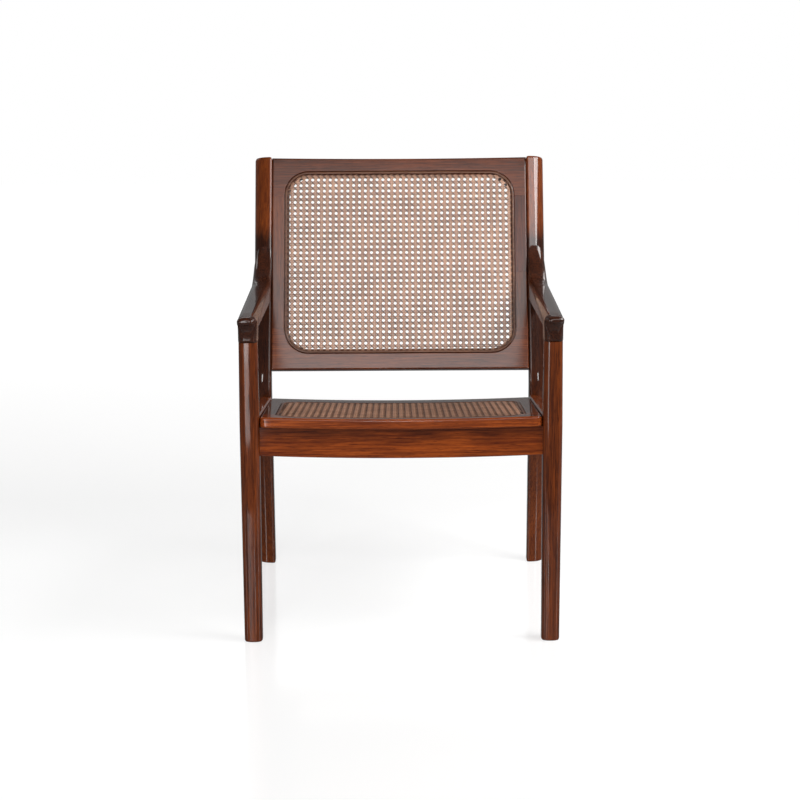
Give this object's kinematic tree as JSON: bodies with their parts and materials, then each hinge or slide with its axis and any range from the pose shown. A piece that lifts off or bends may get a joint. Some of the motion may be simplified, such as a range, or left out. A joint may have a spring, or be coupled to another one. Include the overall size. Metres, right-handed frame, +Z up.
{
  "type": "lounge armchair",
  "caption": "Lounge armchair of lacquered wood with a leaning caned back panel, a sloping caned seat and arms that sweep up into the bent back posts.",
  "frame": {"origin": "on the floor, under the middle of the chair's width and depth", "axes": "+X to the right of a person who looks at the chair's front, +Y towards the back, +Z up"},
  "size_m": [0.6314, 0.7666, 0.86],
  "materials": {
    "lacquered_wood": "gloss",
    "cane": "satin",
    "reed": "satin",
    "plain_wood": "matte",
    "screw_steel": "satin"
  },
  "bodies": {
    "root": {"arm_left": "lacquered_wood", "arm_right": "lacquered_wood", "front_leg_left": "lacquered_wood", "front_leg_right": "lacquered_wood", "rear_leg_left": "lacquered_wood", "rear_leg_right": "lacquered_wood", "front_apron": "lacquered_wood", "rear_rail": "lacquered_wood", "side_rail_left": "lacquered_wood", "side_rail_right": "lacquered_wood", "back_top_rail": "lacquered_wood", "back_bottom_rail": "lacquered_wood", "back_stile_left": "lacquered_wood", "back_stile_right_upper": "lacquered_wood", "back_stile_right_lower": "lacquered_wood", "seat_front_rail": "lacquered_wood", "seat_rear_rail": "lacquered_wood", "seat_side_rail_left": "lacquered_wood", "seat_side_rail_right": "lacquered_wood", "back_cane": "cane", "seat_cane": "cane", "back_cane_reed": "reed", "seat_cane_reed": "reed", "corner_block_front_left": "plain_wood", "corner_block_front_right": "plain_wood", "corner_block_rear_left": "plain_wood", "corner_block_rear_right": "plain_wood", "arm_dowels": "plain_wood", "back_panel_dowels": "plain_wood", "back_frame_dowels": "plain_wood", "seat_frame_dowels": "plain_wood", "corner_block_screws": "screw_steel", "seat_screws": "screw_steel"}
  },
  "joints": []
}
